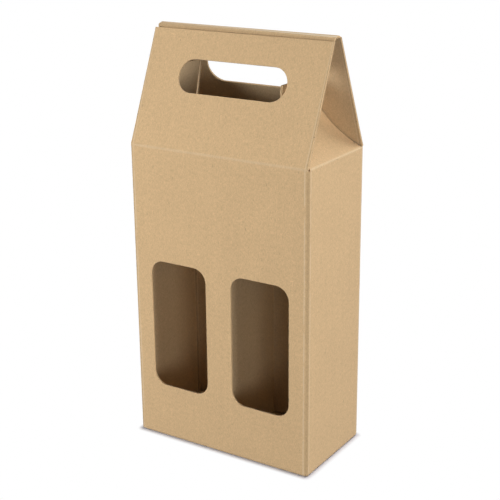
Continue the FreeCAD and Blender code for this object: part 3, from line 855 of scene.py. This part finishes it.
def corner_patches():
    """The foot of each upright fold and of the raw edge, rolled under like the walls'."""
    firsts = np.append(plan_ends[1:-1:2], back_flap_end)
    lasts = np.append(plan_ends[2::2], plan_ends[-1])
    return [net(part_of(us, a, b)[:, None], CORNER_FOOT[::-1]) for a, b in zip(firsts, lasts)]


def flap_columns(wall, v, stations, halves):
    """The columns of a flap: u = middle + (u - middle) * half(v) / half at its root.

    The half width goes evenly from one given half to the next as v passes the stations.
    """
    first, last = wall_span[wall]
    last = min(last, first + (DEPTH if wall in FLAPS else WIDTH) - 2 * CORNER_RADIUS)
    u = between(us, first, last)
    middle, half = (first + last) / 2, (last - first) / 2
    scale = np.interp(-v, -np.array(stations), halves) / half
    return middle + (u - middle)[:, None] * scale, middle


def outer_flap(wall, sign):
    """A base flap of the front or back wall, which ends on the lock line.

    The lock line is a depth position for each x, and the flap's length follows it.
    """
    share = np.linspace(0, 1, OUTER_ROWS)[1:]
    v = np.concatenate([FOOT, ROOT - share])
    root_half = WIDTH / 2 - CORNER_RADIUS
    u, middle = flap_columns(wall, v, [CORNER_FOOT[-1], ROOT], [root_half, FLAP_HALF])
    x = (u[:, -1] - middle) * sign
    edge = DEPTH / 2 + sign * np.interp(x, *LOCK.T) - LOCK_GAP / 2 - BASE_RADIUS
    rows = np.tile(v, (len(u), 1))
    rows[:, len(FOOT):] = ROOT - edge[:, None] * share
    return net(u, rows)


def inner_flap(wall):
    """A base flap of a side wall, with cut corners."""
    climb_end = upright[wall][1][1]
    tip = ROOT - INNER_LENGTH
    slant = tip + INNER_SLANT
    v = -joined(-FOOT, lines([-ROOT, -climb_end, -slant, -tip], [0.5 * MM, 5 * MM, 3.5 * MM]))
    u, _ = flap_columns(wall, v, [CORNER_FOOT[-1], ROOT, slant, tip],
                        [DEPTH / 2 - CORNER_RADIUS, INNER_HALF, INNER_HALF,
                         INNER_HALF - INNER_SLANT])
    return net(u, v)


def side_flap(wall):
    """A side flap, as wide at each height as the gable leaves room for."""
    first, last = wall_span[wall]
    line, ends = upright[wall]
    u = between(us, first, last)
    v = joined([TOP], lines([ends[-4], ends[-3], ends[-1]], [0.35 * MM, 3 * MM]))
    v = v[v > TOP - TINY]
    height = np.clip(line(v)[0][:, 1] - SHOULDER, 0, None)
    room = DEPTH / 2 - (BOARD + SIDE_GAP) / math.cos(LEAN) - height * math.tan(LEAN)
    middle = (first + last) / 2
    scale = np.minimum(1, (room - FLAP_PLAY) / (DEPTH / 2 - CORNER_RADIUS))
    return net(middle + (u - middle)[:, None] * scale, v)


def turned(patch):
    """A patch with each face's corners in the other order, where v runs down."""
    return patch[0], patch[1][:, ::-1]


base_flaps = [outer_flap("front", 1), outer_flap("back", -1), inner_flap("left"),
              inner_flap("right")]
patches = wall_patches() + corner_patches() + [turned(flap) for flap in base_flaps]
patches += [side_flap("left"), side_flap("right")]

folded_sheet = make_board("folded_sheet", patches, carton_fold,
                          joins=lambda uv: uv[:, 1] > TOP - TINY)
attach(folded_sheet, "box")
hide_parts("carton")

# %% [markdown]
# ## The gable panels
#
# The front panel is flat and has a cut top edge. The back panel goes on over the ridge: a
# narrow strip folds towards the front, and a tuck flap goes down behind the front panel,
# which holds the box shut. The hand holes are slots with round ends.

# %% The front gable panel
PANEL_STEP, HOLE_STEP = 4 * MM, 2.2 * MM
HOLLOW_FADE = 20 * MM
STRAIGHT = [(1.0, 0)]
HOLE_HEIGHT = 29.5 * MM
FRONT_HOLE, FRONT_RISE = 108 * MM, 65.4 * MM
BACK_HOLE, BACK_RISE = 103 * MM, 68 * MM
# The front panel's cut edge ends a little below the round fold of the ridge strip.
BELOW_RIDGE = 1.4 * MM


def panel_patches(half_width, high, hole, rise):
    """A panel with a hand hole, from its crease strip to its upper edge."""
    half = (hole / 2, HOLE_HEIGHT / 2)
    box = box_round(0, rise, half)
    u = lines([-half_width, *box[:2], half_width], [PANEL_STEP, HOLE_STEP, PANEL_STEP])
    v = lines([HINGE, *box[2:], high], [PANEL_STEP, HOLE_STEP, 3 * MM])
    return [without(net(u[:, None], v), box), hole_net(u, v, box, half, HOLE_HEIGHT / 2)], u


def at_hinge(uv):
    """Where a panel's rim joins its crease strip."""
    return uv[:, 1] < HINGE + TINY


def panel_fold(plan, line, length):
    """Folds a gable panel; slow hollows fade out at its edges."""
    def fold(uv, depth):
        u, v = uv.T
        fade = np.clip(v / HOLLOW_FADE, 0, 1) * np.clip((length - v) / HOLLOW_FADE, 0, 1)
        depth = depth + PANEL_HOLLOW * fade * soft_wave(u + WAVE_SHIFT, v)
        return fold_round(u, v, depth, plan, line)
    return fold


front_plan = folded_line((0, -DEPTH / 2), 0, STRAIGHT)[0]
front_line = folded_line((0, SHOULDER), math.pi / 2 + LEAN, [(FRONT_GABLE, 0)])[0]
front_patches, _ = panel_patches(PANEL_HALF, FRONT_GABLE - BELOW_RIDGE, FRONT_HOLE, FRONT_RISE)
front_panel = make_board("front_panel", front_patches,
                         panel_fold(front_plan, front_line, FRONT_GABLE),
                         corner=(front_middle, SHOULDER), joins=at_hinge)
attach(front_panel, "front_panel")
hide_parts("front_gable")

# %% [markdown]
# The strip's two folds share the turn from the back panel to the tuck flap, and the strip
# is as wide as brings the tuck flap to the back of the front panel, with a small gap.

# %% The back gable panel with its ridge and tuck flap
BACK_HALF, STRIP_HALF, TUCK_HALF, TUCK_TAPER = 89.7 * MM, 88.4 * MM, 88 * MM, 6.6 * MM
INSET_RUN = 0.7 * MM
TUCK_LENGTH = 24 * MM
slope_cosine = math.cos(LEAN + RIDGE_SLOPE)
ridge_width = (DEPTH * math.cos(LEAN) - BACK_GABLE * math.sin(2 * LEAN)
               - BOARD - PANEL_GAP) / slope_cosine
back_fold = math.pi / 2 - LEAN + RIDGE_SLOPE
front_fold = math.pi / 2 - LEAN - RIDGE_SLOPE
back_tangent = RIDGE_RADIUS * math.tan(back_fold / 2)
front_tangent = RIDGE_RADIUS * math.tan(front_fold / 2)
back_line, back_ends = folded_line((0, SHOULDER), math.pi / 2 + LEAN, [
    (BACK_GABLE - back_tangent, 0), (RIDGE_RADIUS * back_fold, back_fold),
    (ridge_width - back_tangent - front_tangent, 0),
    (RIDGE_RADIUS * front_fold, front_fold), (TUCK_LENGTH - front_tangent, 0)])
back_plan = folded_line((0, DEPTH / 2), math.pi, STRAIGHT)[0]
back_patches, back_u = panel_patches(BACK_HALF, back_ends[1], BACK_HOLE, BACK_RISE)


def ridge_patch(u):
    """The ridge strip and the tuck flap: a step in from the panel, then a taper."""
    ends = [back_ends[1], back_ends[1] + INSET_RUN, *back_ends[2:6]]
    steps = [INSET_RUN, 0.5 * MM, 0.9 * MM, 0.5 * MM, 3 * MM]
    v = lines(ends, steps)
    half = np.interp(v, [ends[0], ends[1], ends[4], ends[5]],
                     [BACK_HALF, STRIP_HALF, TUCK_HALF, TUCK_HALF - TUCK_TAPER])
    return net(u[:, None] * half / BACK_HALF, v)


back_panel = make_board("back_panel", back_patches + [ridge_patch(back_u)],
                        panel_fold(back_plan, back_line, BACK_GABLE - back_tangent),
                        corner=(back_middle, SHOULDER), joins=at_hinge)
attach(back_panel, "back_panel")
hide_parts("back_gable")
print("the ridge strip is", round(ridge_width / MM, 2), "mm wide")

# %% [markdown]
# ## The shoulder creases
#
# Front wall and front panel are one sheet, bent on a creased line.

# %% The two creases
CREASE_HALF = 88.9 * MM


def crease_fold(plan):
    """Bends the strip evenly from upright to the lean of the gable."""
    length = HINGE / math.tan(LEAN / 2) * LEAN
    line = folded_line((0, TOP), math.pi / 2, [(length, LEAN)])[0]

    def fold(uv, depth):
        u, v = uv.T
        return fold_round(u, (v + HINGE) * length / (2 * HINGE), depth, plan, line)
    return fold


def make_crease(name, plan, middle):
    """A crease strip that bends between the box and a gable panel."""
    strip = net(spread(-CREASE_HALF, CREASE_HALF, PANEL_STEP)[:, None],
                spread(-HINGE, HINGE, 0.3 * MM))
    piece = make_board(name, [strip], crease_fold(plan), corner=(middle, SHOULDER),
                       joins=lambda uv: np.abs(uv[:, 1]) > HINGE - TINY)
    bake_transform(piece)


make_crease("front_crease", front_plan, front_middle)
make_crease("back_crease", back_plan, back_middle)

# %% [markdown]
# ## The divider and the locking tongue
#
# Inside stands a folded insert that keeps the two cells apart, with its foot along the
# back wall, and on the base lies the tongue that locks the two outer flaps. Both are cut
# from the same board, so they use the same helpers. Their corner lies far off on the sheet,
# where no fold mark reaches them.

# %% The divider
DIVIDER_LOW, DIVIDER_HEIGHT, DIVIDER_GAP = 2 * BOARD, 190 * MM, 0.5 * MM
DIVIDER_RUN, DIVIDER_FOOT = DEPTH - 2 * (BOARD + DIVIDER_GAP), 60 * MM
DIVIDER_CORNER, DIVIDER_ROWS = 18 * MM, 40
INNER_BEND = 1.2 * MM
divider_bend = fold_step(INNER_BEND + BOARD, -90)
divider_plan, divider_ends = folded_line(
    (-BOARD / 2, -DIVIDER_RUN / 2), math.pi / 2,
    [(DIVIDER_RUN - INNER_BEND - BOARD, 0), divider_bend, (DIVIDER_FOOT - INNER_BEND, 0)])


def divider_fold(uv, depth):
    """An upright board that follows its plan line, with its thickness to the right."""
    u, v = uv.T
    ground, heading = divider_plan(u)
    right = np.stack([np.sin(heading), -np.cos(heading)], 1)
    return np.column_stack([ground + right * depth[:, None], v])


def divider_patch():
    """The divider's sheet, whose upper front corner is cut off."""
    u = lines([0, DIVIDER_CORNER, *divider_ends[1:]], [3 * MM, 5 * MM, FOLD_STEP, 5 * MM])
    u = u[:, None]
    height = DIVIDER_HEIGHT - np.clip(DIVIDER_CORNER - u, 0, None)
    return net(u, DIVIDER_LOW + height * np.linspace(0, 1, DIVIDER_ROWS))


divider = make_board("divider_insert", [turned(divider_patch())], divider_fold, corner=(1, 0))
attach(divider, "box")
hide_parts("divider")

# %% The locking tongue
TONGUE_FROM, TONGUE_SLANT, TONGUE_TIP, TONGUE_HALF = np.array([-44.7, 20, 32, 23.6]) * MM
TONGUE_LINES = 12


def flat_fold(uv, depth):
    """Lies on the outer base flaps, with its outer face down."""
    return np.column_stack([uv[:, 0], uv[:, 1], BOARD + depth])


def tongue_patch():
    """A tongue with slanted corners at its end."""
    y = lines([TONGUE_FROM, TONGUE_SLANT, TONGUE_TIP], [6 * MM, 3 * MM])
    half = TONGUE_HALF - np.clip(y - TONGUE_SLANT, 0, None)
    return net(np.linspace(-1, 1, TONGUE_LINES)[:, None] * half, y)


tongue = make_board("base_tongue", [turned(tongue_patch())], flat_fold, corner=(1.5, 0))
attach(tongue, "box")

# %% [markdown]
# ## The photograph's view
#
# The camera stands to the right of the front and a little above. Its place and its focal
# length come from the corners of the box in the picture. A camera that isn't turned looks
# straight down, so it is rolled, tilted up by a right angle less the pitch, and turned.

# %% The camera
FOCAL_PIXELS, PICTURE_PIXELS, SENSOR = 1168.2, 500, 36
YAW, PITCH, ROLL = (math.radians(x) for x in (32.766, 18.717, -0.556))
CAMERA_AT = (0.53656, -0.82875, 0.51455)

camera_data = bpy.data.cameras.new("camera")
camera_data.sensor_width = SENSOR
camera_data.lens = SENSOR * FOCAL_PIXELS / PICTURE_PIXELS
camera = new_object("camera", camera_data)
camera.matrix_world = (
    Matrix.Translation(CAMERA_AT) @ Matrix.Rotation(YAW, 4, "Z")
    @ Matrix.Rotation(math.pi / 2 - PITCH, 4, "X") @ Matrix.Rotation(ROLL, 4, "Z"))
bpy.context.scene.camera = camera
print("lens", round(camera_data.lens, 1), "mm")

# %% [markdown]
# ## Floor and light
#
# The box stands on white, with only a thin soft shadow at its foot. Within a few millimetres of
# the foot the floor is a grey lit sheet, so its shadow there is partly cast shadow and partly
# painted shadow. Further out it glows plain white for the camera, and rays that the camera sends
# past it find a white world. For light that bounces, floor and world are duller, so the foot of
# the box isn't lit from below, as in the photograph.

# %% The floor and the world
# For the camera the floor near the foot has this grey colour, a painted shadow on top of the cast
# one; further out it glows white.
PAINTED_SHADOW_GREY, BOUNCE_GREY = (0.72, 0.70, 0.75, 1), (0.08, 0.08, 0.085, 1)
SHADOW_FROM, SHADOW_TO = 1.5 * MM, 7.5 * MM
FLOOR_HALF, FLOOR_DROP = 6, 0.1 * MM


def white_for_camera(tree):
    """1 where the ray comes from the camera, or by a mirror or glass, and else 0."""
    path = add(tree, "LightPath").outputs
    seen = larger(tree, path["Is Camera Ray"], path["Is Glossy Ray"])
    return larger(tree, seen, path["Is Transmission Ray"])


def away_from_box(tree):
    """The distance to the box's foot: the length of max(|place| - half size, 0)."""
    place = add(tree, "TexCoord").outputs["Object"]
    half = (WIDTH / 2 - BASE_RADIUS, DEPTH / 2 - BASE_RADIUS, 0)
    off = vector_maths(tree, "SUBTRACT", vector_maths(tree, "ABSOLUTE", place)[0], half)[0]
    return vector_maths(tree, "LENGTH", vector_maths(tree, "MAXIMUM", off, (0, 0, 0))[0])["Value"]


floor_material = bpy.data.materials.new("floor_white")
floor_material.use_nodes = True
tree = floor_material.node_tree
seen = white_for_camera(tree)
# The grey near the foot is painted shadow for camera rays.
lit = feed(tree, tree.nodes["Principled BSDF"], Roughness=1.0, Specular_IOR_Level=0.0,
           Base_Color=mixed(tree, seen, BOUNCE_GREY, PAINTED_SHADOW_GREY))
glow = feed(tree, add(tree, "Emission"), Color=(1, 1, 1, 1), Strength=1.0)
away = smooth_range(tree, away_from_box(tree), SHADOW_FROM, SHADOW_TO)
both = feed(tree, add(tree, "MixShader"), times(tree, seen, away), lit.outputs[0],
            glow.outputs[0])
feed(tree, tree.nodes["Material Output"], both.outputs[0])
corners = [(x * FLOOR_HALF, y * FLOOR_HALF, -FLOOR_DROP)
           for x, y in ((-1, -1), (1, -1), (1, 1), (-1, 1))]
floor_mesh = bpy.data.meshes.new("floor")
floor_mesh.from_pydata(corners, [], [(0, 1, 2, 3)])
floor_mesh.materials.append(floor_material)
floor = new_object("floor", floor_mesh)

world = bpy.data.worlds.new("white_room")
world.use_nodes = True
tree = world.node_tree
feed(tree, tree.nodes["Background"],
     Color=mixed(tree, white_for_camera(tree), BOUNCE_GREY, (1, 1, 1, 1)))
bpy.context.scene.world = world

# %% [markdown]
# Five area lamps stand for softboxes: one above, one to the left of the camera, one to the
# right, a weak low one that lifts the foot of the box, and one behind for the views of the
# back. Their sizes make the shadows soft, and their strengths are set so that the paper
# renders about as its colour is written.

# %% The lamps
LAMPS_AIM = (0, 0, 0.19)


def softbox(name, place, size, power):
    """Adds a square lamp at a place, turned to the middle of the box."""
    data = bpy.data.lights.new(name, "AREA")
    data.size = size
    data.energy = power
    lamp = new_object(name, data)
    lamp.location = place
    aim = Vector(LAMPS_AIM) - Vector(place)
    lamp.rotation_euler = aim.to_track_quat("-Z", "Y").to_euler()


softbox("lamp_above", (0.45, 0.45, 1.6), 1.1, 16)
softbox("lamp_left", (-0.7, -0.9, 0.34), 0.5, 10.4)
softbox("lamp_right", (1.6, -0.3, 0.4), 0.75, 16)
softbox("lamp_low", (0.8, -0.9, 0.16), 0.4, 3.0)
softbox("lamp_behind", (0, 1.6, 0.3), 0.8, 12)

bpy.context.scene.view_settings.view_transform = "Standard"
